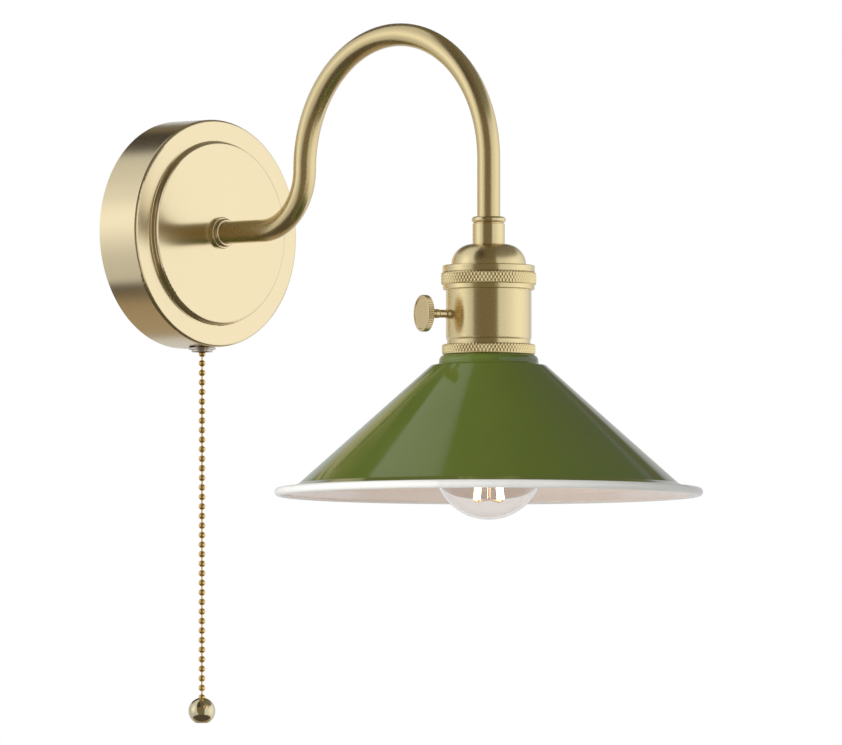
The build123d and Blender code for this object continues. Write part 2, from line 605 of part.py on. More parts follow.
def pull_switch():
    """The pull switch: case, cover, rivets, nozzle, ring nut, spool, axle, contacts and spring."""
    back = SWITCH_OUT - SWITCH_THICK / 2
    front = SWITCH_OUT + SWITCH_THICK / 2 - SWITCH_COVER_T
    top = SWITCH_BOTTOM + SWITCH_H
    mid_z = (SWITCH_BOTTOM + top) / 2
    case = Pos(0, -(back + front) / 2, mid_z) * Box(SWITCH_W, front - back, SWITCH_H)
    cavity_back = back + SWITCH_WALL
    cavity = Box(SWITCH_W - 2 * SWITCH_WALL, front - cavity_back, SWITCH_H - 2 * SWITCH_WALL)
    case -= Pos(0, -(cavity_back + front) / 2, mid_z) * cavity
    cover = Pos(0, -front - SWITCH_COVER_T / 2, mid_z) * Box(SWITCH_W, SWITCH_COVER_T, SWITCH_H)
    nozzle_hole = Pos(0, -SWITCH_OUT, 0) * rod(NOZZLE_R, SWITCH_BOTTOM - 1, SWITCH_BOTTOM + SWITCH_WALL)
    case -= nozzle_hole
    for side in (-1, 1):
        wire_hole = rod(WIRE_R + LOOSE_FIT, top - SWITCH_WALL - 1, top + 1)
        case -= Pos(side * WIRE_REACH, -SWITCH_OUT, 0) * wire_hole
    axle_place = Pos(SPOOL_X, 0, LEAD_TOP) * OUT
    axle_hole = axle_place * rod(SPOOL_AXLE_R, back, front + SWITCH_COVER_T)
    rivets = []
    for side in (-1, 1):
        boss_x = side * (SWITCH_W / 2 - SWITCH_RIVET_INSET)
        place = Pos(boss_x, 0, top - SWITCH_RIVET_INSET) * OUT
        boss = place * rod(SWITCH_RIVET_INSET, back, front)
        hole = place * rod(SWITCH_RIVET_R, back, front + SWITCH_COVER_T)
        case = case + boss - hole
        cover -= hole
        rivets.append(hole)
    case -= axle_hole
    cover -= axle_hole
    keep("switch_case", case)
    keep("switch_cover", cover)
    keep("switch_rivets", *rivets)
    keep("spool_axle", axle_hole)

    place = Pos(0, -SWITCH_OUT, 0)
    nozzle = turned(
        (NOZZLE_BORE_R, SWITCH_BOTTOM + SWITCH_WALL),
        (NOZZLE_R, SWITCH_BOTTOM + SWITCH_WALL),
        (NOZZLE_R, SWITCH_BOTTOM),
        (NOZZLE_FLANGE_R, SWITCH_BOTTOM),
        (NOZZLE_FLANGE_R, NOZZLE_SEAT),
        (NOZZLE_R, NOZZLE_SEAT),
        (NOZZLE_R, -CANOPY_R - NOZZLE_TAIL),
        (NOZZLE_BORE_R, -CANOPY_R - NOZZLE_TAIL),
    )
    keep("switch_nozzle", place * nozzle)
    nut_bottom = -CANOPY_R - RING_NUT_T
    ring_nut = turned(
        (NOZZLE_R + RUN_FIT, -CANOPY_R),
        (RING_NUT_R, -CANOPY_R, SMALL_EDGE_R),
        (RING_NUT_R, nut_bottom, SMALL_EDGE_R),
        (RING_LIP_R, nut_bottom),
        (RING_LIP_R, MOUTH_Z, SOFT_EDGE_R),
        (RING_MOUTH_R, MOUTH_Z, SMALL_EDGE_R),
        (RING_MOUTH_R, -CANOPY_R - NOZZLE_TAIL),
        (NOZZLE_R + RUN_FIT, -CANOPY_R - NOZZLE_TAIL),
    )
    keep("switch_ring_nut", place * ring_nut)

    half = SPOOL_L / 2
    spool = turned(
        (SPOOL_AXLE_R + RUN_FIT, -half),
        (SPOOL_FLANGE_R, -half),
        (SPOOL_FLANGE_R, -half + SPOOL_FLANGE_T),
        (SPOOL_R, -half + SPOOL_FLANGE_T),
        (SPOOL_R, half - SPOOL_FLANGE_T),
        (SPOOL_FLANGE_R, half - SPOOL_FLANGE_T),
        (SPOOL_FLANGE_R, half),
        (SPOOL_AXLE_R + RUN_FIT, half),
    )
    keep("pull_spool", Pos(SPOOL_X, -SWITCH_OUT, LEAD_TOP) * (OUT * spool))

    contact_z = top - SWITCH_WALL - 2 * SWITCH_RIVET_INSET
    strip_h = SWITCH_CONTACT_W
    contacts = []
    for side in (-1, 1):
        x = side * (SWITCH_W / 2 - SWITCH_WALL - SWITCH_CONTACT_T / 2)
        strip = Box(SWITCH_CONTACT_T, SWITCH_CONTACT_W, strip_h)
        contacts.append(Pos(x, -SWITCH_OUT, contact_z) * strip)
    keep("switch_contacts", *contacts)

    coil = Helix(pitch=SPRING_PITCH, height=SPRING_TURNS * SPRING_PITCH, radius=SPRING_COIL_R)
    start = Plane(origin=coil @ 0, z_dir=coil % 0)
    spring = sweep(start * Circle(SPRING_WIRE_R), coil, is_frenet=True)
    spring_start = SWITCH_OUT - half - SPRING_TURNS * SPRING_PITCH - SPRING_WIRE_R - AIR_GAP / 3
    keep("spool_spring", Pos(SPOOL_X, 0, LEAD_TOP) * (OUT * (Pos(0, 0, spring_start) * spring)))


def pull_chain():
    """The ball chain: its lead in the switch, the top bead, the hanging beads and links, and the ball."""
    place = Pos(0, -SWITCH_OUT, 0)
    bead_gap = BEAD_R + RUN_FIT * 2
    inner_bead = FIRST_BEAD_Z + BEAD_PITCH
    lead = rod(CHAIN_LEAD_R, FIRST_BEAD_Z + bead_gap, LEAD_TOP)
    lead += Pos(0, 0, inner_bead) * Sphere(BEAD_R)
    keep("chain_lead", place * lead)
    keep("chain_top_bead", place * (Pos(0, 0, FIRST_BEAD_Z) * Sphere(BEAD_R)))
    pin_bore = rod(CHAIN_LINK_R + RUN_FIT, -BEAD_R, BEAD_R)
    bead = Sphere(BEAD_R) - pin_bore
    beads = []
    links = []
    for index in range(1, BEAD_COUNT):
        z = FIRST_BEAD_Z - index * BEAD_PITCH
        beads.append(place * (Pos(0, 0, z) * bead))
        start = z + BEAD_PITCH - (bead_gap if index == 1 else RUN_FIT)
        links.append(place * rod(CHAIN_LINK_R, z, start))
    keep("chain_beads", *beads)
    keep("chain_links", *links)
    last_bead = FIRST_BEAD_Z - (BEAD_COUNT - 1) * BEAD_PITCH
    centre = last_bead - PULL_BALL_UNDER
    ball = Pos(0, 0, centre) * Sphere(PULL_BALL_R)
    ball -= Pos(0, 0, centre - PULL_BALL_CUT - PULL_BALL_R) * Box(4 * PULL_BALL_R, 4 * PULL_BALL_R, 2 * PULL_BALL_R)
    ball -= Pos(0, 0, last_bead) * Sphere(BEAD_R + RUN_FIT)
    keep("ball_pull", place * ball)


def holder_metal():
    """The lampholder's brass outside: neck ring, neck, dome cap, union ring and shell."""
    bore = ARM_R + RUN_FIT
    ring_edge = BEAD_SHARE * NECK_RING_H / 2
    keep("neck_ring", at_holder(ring(bore, NECK_RING_R, -NECK_RING_H, 0, ring_edge)))
    neck = turned(
        (bore, -NECK_RING_H),
        (NECK_GROOVE_R, -NECK_RING_H),
        (NECK_GROOVE_R, -NECK_RING_H - NECK_GROOVE_H),
        (NECK_R, -NECK_RING_H - NECK_GROOVE_H, SMALL_EDGE_R),
        (NECK_R, DOME_TOP),
        (bore, DOME_TOP),
    )
    keep("neck_sleeve", at_holder(neck))

    inner_corner = DOME_CORNER_R - DOME_WALL
    collar_bottom = COLLAR_TOP - CAP_COLLAR_H
    thread_end = SHELL_TOP + RUN_FIT
    thread_bore = UNION_THREAD_R - DOME_WALL
    cap = turned(
        (bore, DOME_TOP),
        (DOME_R, DOME_TOP, DOME_CORNER_R),
        (DOME_R, COLLAR_TOP),
        (CAP_COLLAR_R, COLLAR_TOP, SOFT_EDGE_R),
        (CAP_COLLAR_R, collar_bottom, SMALL_EDGE_R),
        (UNION_THREAD_R, collar_bottom),
        (UNION_THREAD_R, thread_end),
        (thread_bore, thread_end),
        (thread_bore, COLLAR_TOP - DOME_WALL),
        (DOME_R - DOME_WALL, COLLAR_TOP - DOME_WALL),
        (DOME_R - DOME_WALL, DOME_TOP - DOME_WALL, inner_corner),
        (bore, DOME_TOP - DOME_WALL),
    )
    keep("holder_cap", at_holder(cap))
    nut_top = DOME_TOP - DOME_WALL
    keep("holder_locknut", at_holder(hex_nut(HOLDER_NUT_AF, bore, nut_top - HOLDER_NUT_T, nut_top)))

    union_blank = turned(
        (UNION_THREAD_R + RUN_FIT, UNION_TOP),
        (UNION_R - UNION_CHAMFER, UNION_TOP),
        (UNION_R, UNION_TOP - UNION_CHAMFER),
        (UNION_R, UNION_LIP + UNION_CHAMFER),
        (UNION_R - UNION_CHAMFER, UNION_LIP),
        (UNION_R - UNION_CHAMFER, UNION_LIP - SEAT_STEP),
        (UNION_LIP_R, UNION_LIP - SEAT_STEP),
        (UNION_LIP_R, UNION_BOTTOM, SMALL_EDGE_R),
        (SHELL_R + RUN_FIT, UNION_BOTTOM),
        (SHELL_R + RUN_FIT, SHELL_FLANGE_BOTTOM - RUN_FIT),
        (UNION_THREAD_R + RUN_FIT, SHELL_FLANGE_BOTTOM - RUN_FIT),
    )
    knurl = fluted(UNION_R, KNURL_DEPTH, KNURL_TEETH, UNION_BOTTOM - 1, UNION_TOP + 1)
    keep("union_ring", at_holder(union_blank & knurl))

    thread = []
    thread_top = INNER_RING_TOP - INNER_RING_H - AIR_GAP
    for turn in range(SKIRT_THREAD_TURNS):
        z = thread_top - turn * SKIRT_THREAD_PITCH
        thread.append((SKIRT_R, z))
        thread.append((SKIRT_R - SKIRT_THREAD_DEPTH, z - SKIRT_THREAD_PITCH / 2))
    shell = turned(
        (SHELL_BORE_R, SHELL_TOP),
        (UNION_THREAD_R, SHELL_TOP),
        (UNION_THREAD_R, SHELL_FLANGE_BOTTOM),
        (SHELL_R, SHELL_FLANGE_BOTTOM),
        (SHELL_R, SHELL_BOTTOM, SHELL_FOOT_R),
        (SKIRT_R, SHELL_BOTTOM - SKIRT_STEP_H),
        *thread,
        (SKIRT_R, thread_top - SKIRT_THREAD_TURNS * SKIRT_THREAD_PITCH),
        (SKIRT_R, SKIRT_BOTTOM, SMALL_EDGE_R),
        (SHELL_BORE_R, SKIRT_BOTTOM),
    )
    bush_hole = key_place() * rod(KEY_BUSH_R + RUN_FIT, 0, SHELL_R + 1)
    keep("socket_shell", at_holder(shell) - bush_hole)
    liner = at_holder(ring(LINER_R - LINER_T, LINER_R, CORE_BOTTOM, CORE_TOP))
    keep("socket_liner", liner - bush_hole)


def socket_core():
    """The ceramic core with the screw shell, centre contact, terminals and their screws."""
    core = turned(
        (0, CORE_TOP),
        (CORE_R, CORE_TOP, SOFT_EDGE_R),
        (CORE_R, CORE_BOTTOM),
        (CORE_SKIRT_BORE_R, CORE_BOTTOM),
        (CORE_SKIRT_BORE_R, CORE_FLOOR),
        (0, CORE_FLOOR),
    )
    core -= rod(CORE_RIVET_R, CORE_FLOOR - 1, KEY_Z)
    for side in (-1, 1):
        core -= Pos(side * POST_X, 0, 0) * rod(POST_HOLE_R, CORE_TOP - POST_H, CORE_TOP + 1)
    core = at_holder(core)
    key = key_place()
    core -= key * rod(KEY_CHAMBER_R, -KEY_CHAMBER_PAST, CORE_R + 1)
    core -= key * rod(KEY_SPINDLE_R + RUN_FIT, -KEY_CHAMBER_PAST - KEY_SPINDLE_TAIL - 1, 0)
    keep("socket_core", core)

    contact = rod(CORE_CONTACT_R, CORE_FLOOR - CORE_CONTACT_T, CORE_FLOOR)
    contact += rod(CORE_RIVET_R - RUN_FIT, CORE_FLOOR, KEY_Z - KEY_CHAMBER_R)
    keep("centre_contact", at_holder(contact))
    keep("screw_shell", at_holder(screw_thread_tube()))

    posts = []
    screws = []
    for side in (-1, 1):
        place = Pos(side * POST_X, 0, 0)
        post = place * (Pos(0, 0, CORE_TOP + POST_H / 2) * Box(POST_W, POST_W, POST_H))
        post += place * rod(POST_HOLE_R - RUN_FIT, CORE_TOP - POST_H + 1, CORE_TOP)
        post -= place * rod(WIRE_R + LOOSE_FIT, CORE_TOP + POST_H / 2 - 0.5, CORE_TOP + POST_H + 1)
        screw_place = Pos(side * POST_X, 0, CORE_TOP + POST_H / 2) * OUT
        face = POST_W / 2
        post -= screw_place * rod(POST_SCREW_R + RUN_FIT, WIRE_R + 0.1, face + 1)
        screw = rod(POST_SCREW_R, WIRE_R + 0.2, face)
        screw += rod(POST_SCREW_HEAD_R, face, face + POST_SCREW_HEAD_H)
        screw -= Pos(0, 0, face + POST_SCREW_HEAD_H) * Box(3 * POST_SCREW_HEAD_R, 0.6, 1.4)
        posts.append(at_holder(post))
        screws.append(at_holder(screw_place * screw))
    keep("socket_terminals", *posts)
    keep("socket_terminal_screws", *screws)


def wavy(radius, low, high):
    """A round knuckle thread's solid: a circle whose centre winds up the axis on a small right-handed helix."""
    count = math.ceil((high - low) / THREAD_PITCH * THREAD_STEPS)
    sections = []
    for index in range(count + 1):
        z = low + (high - low) * index / count
        turn = 2 * math.pi * z / THREAD_PITCH
        centre = Pos(THREAD_WAVE * math.cos(turn), THREAD_WAVE * math.sin(turn), z)
        sections.append(centre * Circle(radius))
    return loft(sections)


def threaded_tube(bore_r, radius, low, high):
    """A thin tube pressed into the knuckle thread."""
    return wavy(radius, low, high) - wavy(bore_r, low - 1, high + 1)


def screw_thread_tube():
    """The lampholder's thin screw shell."""
    bore = THREAD_MEAN_R + THREAD_CLEARANCE
    return threaded_tube(bore, bore + SCREW_SHELL_T, CORE_FLOOR - SCREW_SHELL_H, CORE_FLOOR)


def turn_switch():
    """The turn knob, its bush in the shell, the spindle, the cam and the leaf it works."""
    key = key_place()
    bush_inner = CORE_R - KEY_BUSH_INSIDE
    bush = turned(
        (KEY_SPINDLE_R + RUN_FIT, bush_inner - KEY_BUSH_FLANGE_T),
        (KEY_BUSH_FLANGE_R, bush_inner - KEY_BUSH_FLANGE_T),
        (KEY_BUSH_FLANGE_R, bush_inner),
        (KEY_BUSH_R, bush_inner),
        (KEY_BUSH_R, SHELL_FACE_OUT, KNOB_BEAD_EDGE_R),
        (KEY_SPINDLE_R + RUN_FIT, SHELL_FACE_OUT),
    )
    keep("key_bush", key * bush)
    hub_end = KNOB_BACK - KNOB_HUB_L
    stem_end = SHELL_FACE_OUT + AIR_GAP
    knob = turned(
        (KEY_SPINDLE_R, stem_end),
        (KNOB_NECK_R, stem_end),
        (KNOB_NECK_R, hub_end - KNOB_BEAD_L - KNOB_BEAD_EDGE_R),
        (KNOB_BEAD_R, hub_end - KNOB_BEAD_L, KNOB_BEAD_EDGE_R),
        (KNOB_BEAD_R, hub_end - SMALL_EDGE_R, KNOB_BEAD_EDGE_R),
        (KNOB_NECK_R, hub_end),
        (KNOB_HUB_R, KNOB_BACK - KNOB_HUB_FLARE),
        (KNOB_HUB_R + KNOB_HUB_FLARE, KNOB_BACK),
        (KNOB_R, KNOB_BACK, KNOB_EDGE_R),
        (KNOB_R, KNOB_OUT, KNOB_EDGE_R),
        (KNOB_R - KNOB_FACE_RIM, KNOB_OUT),
        (KNOB_R - KNOB_FACE_RIM - KNOB_FACE_STEP, KNOB_OUT - KNOB_FACE_STEP),
        (0, KNOB_OUT - KNOB_FACE_STEP),
        (0, KNOB_BACK),
        (KEY_SPINDLE_R, KNOB_BACK),
    )
    knob &= fluted(KNOB_R, KNOB_FLUTE_DEPTH, KNOB_FLUTES, SHELL_R, KNOB_OUT + 1)
    keep("turn_knob", key * knob)
    cam_low = -KEY_CAM_PAST
    keep("key_spindle", key * rod(KEY_SPINDLE_R, -KEY_CHAMBER_PAST - KEY_SPINDLE_TAIL, KNOB_BACK))
    cam = ring(KEY_SPINDLE_R, KEY_CAM_R, cam_low, cam_low + KEY_CAM_L)
    cam &= Pos(0, 0, cam_low + KEY_CAM_L / 2) * Box(2 * KEY_CAM_R, 2 * KEY_CAM_FLAT, KEY_CAM_L + 2)
    keep("key_cam", key * cam)
    leaf_x = KEY_CAM_R + AIR_GAP + KEY_LEAF_T / 2
    leaf = Pos(leaf_x, 0, cam_low + KEY_CAM_L / 2) * Box(KEY_LEAF_T, KEY_LEAF_W, KEY_LEAF_L)
    keep("key_leaf", key * leaf)


def shade_and_rings():
    """The enamelled steel shade, clamped between a knurled ring above and a plain ring inside."""
    bore = SKIRT_R + RUN_FIT
    blank = turned(
        (bore, SHADE_TOP),
        (SHADE_RING_R - SHADE_RING_CHAMFER, SHADE_TOP),
        (SHADE_RING_R, SHADE_TOP + SHADE_RING_CHAMFER),
        (SHADE_RING_R, SHADE_RING_TOP - SHADE_RING_CHAMFER),
        (SHADE_RING_R - SHADE_RING_CHAMFER, SHADE_RING_TOP),
        (bore, SHADE_RING_TOP),
    )
    knurl = fluted(SHADE_RING_R, KNURL_DEPTH, KNURL_TEETH, SHADE_TOP - 1, SHADE_RING_TOP + 1)
    keep("shade_ring", at_holder(blank & knurl))
    corner = SHADE_NECK_CORNER_R - SHADE_T + LOOSE_FIT
    inner = turned(
        (bore, INNER_RING_TOP),
        (INNER_RING_R, INNER_RING_TOP, corner),
        (INNER_RING_R, INNER_RING_TOP - INNER_RING_H, SMALL_EDGE_R),
        (bore, INNER_RING_TOP - INNER_RING_H),
    )
    keep("shade_inner_ring", at_holder(inner))

    neck_bottom = SHADE_TOP - SHADE_NECK_H
    cone_bottom = neck_bottom - SHADE_CONE_H
    brim_end = cone_bottom - SHADE_BRIM_H
    slope = math.atan2(SHADE_CONE_H, SHADE_CONE_R - SHADE_SHOULDER_R)
    brim_slope = math.atan2(SHADE_BRIM_H, SHADE_BRIM_R - SHADE_CONE_R)
    shoulder_in = SHADE_SHOULDER_R - SHADE_T * math.tan(slope / 2)
    brim_in = SHADE_CONE_R - SHADE_T * math.tan((slope + brim_slope) / 2)
    brim_in_z = cone_bottom - SHADE_T
    sheet = turned(
        (SKIRT_R + LOOSE_FIT, SHADE_TOP),
        (SHADE_NECK_R, SHADE_TOP, SHADE_NECK_CORNER_R),
        (SHADE_NECK_R, neck_bottom, SHADE_FOOT_R),
        (SHADE_SHOULDER_R, neck_bottom, SHADE_SHOULDER_FILLET),
        (SHADE_CONE_R, cone_bottom, SHADE_BRIM_FILLET),
        (SHADE_BRIM_R, brim_end),
        (SHADE_BRIM_R - SHADE_T * math.sin(brim_slope), brim_end - SHADE_T * math.cos(brim_slope)),
        (brim_in, brim_in_z, SHADE_BRIM_FILLET),
        (shoulder_in, neck_bottom - SHADE_T, SHADE_SHOULDER_FILLET),
        (SHADE_NECK_R - SHADE_T, neck_bottom - SHADE_T, SHADE_FOOT_R),
        (SHADE_NECK_R - SHADE_T, SHADE_TOP - SHADE_T, SHADE_NECK_CORNER_R - SHADE_T),
        (SKIRT_R + LOOSE_FIT, SHADE_TOP - SHADE_T),
    )
    bead = Pos(0, 0, brim_end) * Torus(SHADE_BRIM_R, SHADE_BEAD_R)
    keep("shade", at_holder(sheet + bead))


def bulb_outline(inset):
    """The glass outline, inset for the inner face: neck, concave throat and ball."""
    neck_r = BULB_NECK_R - inset
    ball_r = BULB_R - inset
    throat_r = BULB_NECK_FILLET + inset
    across = neck_r + throat_r
    rise = math.sqrt((ball_r + throat_r) ** 2 - across**2)
    share = ball_r / (ball_r + throat_r)
    throat_top = (neck_r, 0, BULB_CENTRE + rise)
    meet = (across * share, 0, BULB_CENTRE + rise * share)
    half = math.atan2(rise, across) / 2
    middle = (across - throat_r * math.cos(half), 0, BULB_CENTRE + rise - throat_r * math.sin(half))
    low = math.atan2(rise, across)
    side = (ball_r * math.cos((low - math.pi / 2) / 2), 0, BULB_CENTRE + ball_r * math.sin((low - math.pi / 2) / 2))
    bottom = (0, 0, BULB_CENTRE - ball_r)
    throat = ThreePointArc(throat_top, middle, meet)
    ball = ThreePointArc(meet, side, bottom)
    return throat_top, throat, ball, bottom


def bulb():
    """The bulb: screw cap, insulator, contact, glass, stem, filaments and their wires."""
    tip_bottom = BULB_TOP - BULB_TIP_H
    contact = turned((0, BULB_TOP), (BULB_TIP_R, BULB_TOP, 0.6), (BULB_TIP_R, tip_bottom), (0, tip_bottom))
    keep("bulb_contact", at_holder(contact))
    thread_root = THREAD_MEAN_R - THREAD_WAVE
    insulator = turned(
        (0, tip_bottom),
        (BULB_TIP_R, tip_bottom),
        (thread_root - BULB_CAP_T, BULB_THREAD_TOP),
        (0, BULB_THREAD_TOP),
    )
    keep("bulb_insulator", at_holder(insulator))
    thread = threaded_tube(THREAD_MEAN_R - BULB_CAP_T, THREAD_MEAN_R, BULB_THREAD_BOTTOM, BULB_THREAD_TOP)
    keep("bulb_screw_cap", at_holder(thread))
    flare_bottom = BULB_THREAD_BOTTOM - BULB_CAP_FLARE_H
    skirt_bore = BULB_NECK_R + 2 * RUN_FIT
    skirt = turned(
        (thread_root - BULB_CAP_T, BULB_THREAD_BOTTOM),
        (thread_root + THREAD_WAVE, BULB_THREAD_BOTTOM),
        (BULB_CAP_FLARE_R, BULB_THREAD_BOTTOM - BULB_CAP_FLARE_H / 3),
        (BULB_CAP_FLARE_R, flare_bottom),
        (skirt_bore, flare_bottom),
        (skirt_bore, BULB_THREAD_BOTTOM - BULB_CAP_FLARE_H / 3),
        (thread_root - BULB_CAP_T, BULB_THREAD_BOTTOM - 0.5),
    )
    keep("bulb_cap_skirt", at_holder(skirt))

    neck_top = BULB_THREAD_BOTTOM - BULB_CAP_FLARE_H / 2
    outer_top, outer_throat, outer_ball, outer_bottom = bulb_outline(0)
    inner_top, inner_throat, inner_ball, inner_bottom = bulb_outline(BULB_GLASS_T)
    rim_out = (outer_top[0], 0, neck_top)
    rim_in = (inner_top[0], 0, neck_top)
    outline = Wire(
        [
            Edge.make_line(rim_out, outer_top),
            *outer_throat.edges(),
            *outer_ball.edges(),
            Edge.make_line(outer_bottom, inner_bottom),
            *inner_ball.edges(),
            *inner_throat.edges(),
            Edge.make_line(inner_top, rim_in),
            Edge.make_line(rim_in, rim_out),
        ]
    )
    keep("bulb_glass", at_holder(revolve(make_face(outline), Axis.Z, 360)))

    driver_top = BULB_THREAD_TOP - AIR_GAP
    keep("bulb_driver", at_holder(rod(BULB_DRIVER_R, driver_top - BULB_DRIVER_H, driver_top)))
    stem_top = neck_top
    flare_r = BULB_NECK_R - BULB_GLASS_T - RUN_FIT
    rod_end = BULB_CENTRE - BULB_R + FILAMENT_ABOVE_END
    stem = turned(
        (0, stem_top),
        (flare_r, stem_top),
        (flare_r, stem_top - 1.5, 0.5),
        (STEM_R, stem_top - STEM_FLARE_H, 3),
        (STEM_R, stem_top - STEM_H, 1.2),
        (STEM_ROD_R, stem_top - STEM_H),
        (STEM_ROD_R, rod_end, 0.3),
        (0, rod_end),
    )
    keep("bulb_stem", at_holder(stem))
    filaments = []
    wires = []
    wire_top = rod_end + FILAMENT_L + AIR_GAP
    for index in range(FILAMENT_COUNT):
        turn = Rot(0, 0, FILAMENT_TURN + index * 360 / FILAMENT_COUNT)
        top = Vector(FILAMENT_TOP_R, 0, wire_top)
        bottom = Vector(FILAMENT_BOTTOM_R, 0, rod_end + AIR_GAP)
        run = bottom - top
        place = Plane(origin=top, z_dir=run).location
        filaments.append(at_holder(turn * (place * rod(FILAMENT_R, 0, run.length))))
        hook = FilletPolyline(
            (STEM_ROD_R + 0.1, 0, rod_end + SUPPORT_WIRE_R),
            (FILAMENT_BOTTOM_R, 0, rod_end - FILAMENT_R),
            (FILAMENT_BOTTOM_R, 0, rod_end + AIR_GAP / 3),
            radius=[0.4],
        )
        wires.append(at_holder(turn * tube_along(hook, SUPPORT_WIRE_R)))
    keep("bulb_filaments", *filaments)
    keep("bulb_support_wires", *wires)


keep("canopy", canopy())
keep("wall_bracket", wall_bracket())
keep("canopy_screws", *canopy_screws())
earth_terminal()
terminal_block()
arm()
flex_and_wires()
pull_switch()
pull_chain()
holder_metal()
socket_core()
turn_switch()
shade_and_rings()
bulb()

os.makedirs("parts", exist_ok=True)
for name, shape in nodes.items():
    export_step(shape, f"parts/{name}.step")
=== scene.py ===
import math

import bmesh
import bpy
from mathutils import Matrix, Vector


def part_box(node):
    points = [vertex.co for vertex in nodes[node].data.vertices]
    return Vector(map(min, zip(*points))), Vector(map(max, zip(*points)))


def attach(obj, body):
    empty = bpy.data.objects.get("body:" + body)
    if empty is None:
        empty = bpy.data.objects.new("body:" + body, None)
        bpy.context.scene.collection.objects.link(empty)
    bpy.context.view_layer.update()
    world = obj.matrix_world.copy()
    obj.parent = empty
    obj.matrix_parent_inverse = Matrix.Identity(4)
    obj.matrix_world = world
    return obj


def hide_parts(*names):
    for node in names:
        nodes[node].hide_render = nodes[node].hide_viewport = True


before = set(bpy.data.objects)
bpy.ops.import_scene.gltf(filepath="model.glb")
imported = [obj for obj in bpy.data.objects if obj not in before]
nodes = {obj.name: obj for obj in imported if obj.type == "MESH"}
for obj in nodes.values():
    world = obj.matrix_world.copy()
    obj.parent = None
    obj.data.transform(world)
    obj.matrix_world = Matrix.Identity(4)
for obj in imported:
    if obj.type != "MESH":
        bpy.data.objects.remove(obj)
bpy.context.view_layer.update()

MM = 0.001

# Camera: a long lens at the light's left front, a little below it
IMAGE_WIDTH_PX = 842
SENSOR_WIDTH = 36.0
FOCAL_PX = 18160.0
CAMERA_AZIMUTH = math.radians(-45.346)
CAMERA_ELEVATION = math.radians(-2.682)
CAMERA_DISTANCE = 8.0
CAMERA_REACH = 100.0
CAMERA_TARGET = Vector((0.07641, -0.07328, -0.06043))

# The studio's own directions: towards the viewer, and to the viewer's right
STUDIO_FRONT = Vector((math.sin(CAMERA_AZIMUTH), -math.cos(CAMERA_AZIMUTH), 0))
STUDIO_RIGHT = Vector((math.cos(CAMERA_AZIMUTH), math.sin(CAMERA_AZIMUTH), 0))
UP = Vector((0, 0, 1))
SIDEWAYS = Vector((1, 0, 0))
OUT_OF_WALL = Vector((0, -1, 0))

FLOOR_Z = -1.0
FLOOR_SIZE = 60.0
LAMP_DISTANCE = 3.0
LAMP_SIZE = 1.6

# Places taken from the frame
HOLDER_OUT = (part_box("neck_ring")[0].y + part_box("neck_ring")[1].y) / 2
HOLDER_AXIS = Vector((0, HOLDER_OUT, 0))
WALL_PLATE_AXIS = Vector((0, 0, 0))
KEY_TURN = math.radians(20)
KEY_DIRECTION = Vector((-math.cos(KEY_TURN), math.sin(KEY_TURN), 0))
KEY_Z = (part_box("turn_knob")[0].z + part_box("turn_knob")[1].z) / 2
KEY_AXIS = Vector((0, HOLDER_OUT, KEY_Z))

# Knurled rings
KNURL_COUNT = 84
KNURL_ANGLE = math.radians(30)
KNURL_DEPTH = 0.32 * MM
KNURL_CREST = 0.86
KNURL_STEPS = 8
KNURL_SMOOTH_DEGREES = 28
KNURL_PITCH = 2 * math.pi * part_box("shade_ring")[1].x / KNURL_COUNT / math.tan(KNURL_ANGLE)
UNION_BAND_H = 5.2 * MM
UNION_LIP_R = 19.85 * MM
UNION_LIP_CHAMFER = 0.3 * MM
UNION_CHAMFER = 0.45 * MM
SHADE_RING_CHAMFER = 0.6 * MM
SHELL_TUBE_R = 18.6 * MM
SKIRT_TUBE_R = 18.15 * MM


class Graph:
    """A node tree under construction. An input is a plain value or another node's output."""

    def __init__(self, tree):
        self.tree = tree
        tree.nodes.clear()

    def add(self, kind, inputs=(), **settings):
        node = self.tree.nodes.new(kind)
        for key, value in settings.items():
            setattr(node, key, value)
        for socket, value in dict(inputs).items():
            if isinstance(value, bpy.types.NodeSocket):
                self.tree.links.new(value, node.inputs[socket])
            else:
                node.inputs[socket].default_value = value
        return node

    def math(self, operation, *values):
        return self.add("ShaderNodeMath", enumerate(values), operation=operation).outputs[0]

    def product(self, *factors):
        result = factors[0]
        for factor in factors[1:]:
            result = self.math("MULTIPLY", result, factor)
        return result

    def vector(self, operation, *values):
        node = self.add("ShaderNodeVectorMath", enumerate(values), operation=operation)
        return node.outputs["Value" if operation in ("DOT_PRODUCT", "LENGTH") else "Vector"]

    def scale(self, vector, factor):
        node = self.add("ShaderNodeVectorMath", {0: vector, "Scale": factor}, operation="SCALE")
        return node.outputs["Vector"]

    def step(self, value, low, high, start=0.0, end=1.0):
        """A soft step from start to end while the value goes from low to high."""
        inputs = {"Value": value, "From Min": low, "From Max": high, "To Min": start, "To Max": end}
        return self.add("ShaderNodeMapRange", inputs, interpolation_type="SMOOTHSTEP").outputs["Result"]

    def mix(self, factor, first, second):
        """Mixes two colours."""
        node = self.add("ShaderNodeMix", data_type="RGBA")
        for socket, value in ((0, factor), (6, first), (7, second)):
            if isinstance(value, bpy.types.NodeSocket):
                self.tree.links.new(value, node.inputs[socket])
            else:
                node.inputs[socket].default_value = value
        return node.outputs[2]

    def noise(self, vector, scale, detail=2.0, roughness=0.5):
        inputs = {"Vector": vector, "Scale": scale, "Detail": detail, "Roughness": roughness}
        return self.add("ShaderNodeTexNoise", inputs, noise_dimensions="3D").outputs["Fac"]


def rgba(colour):
    return (*colour, 1.0)


# ---------------------------------------------------------------- materials


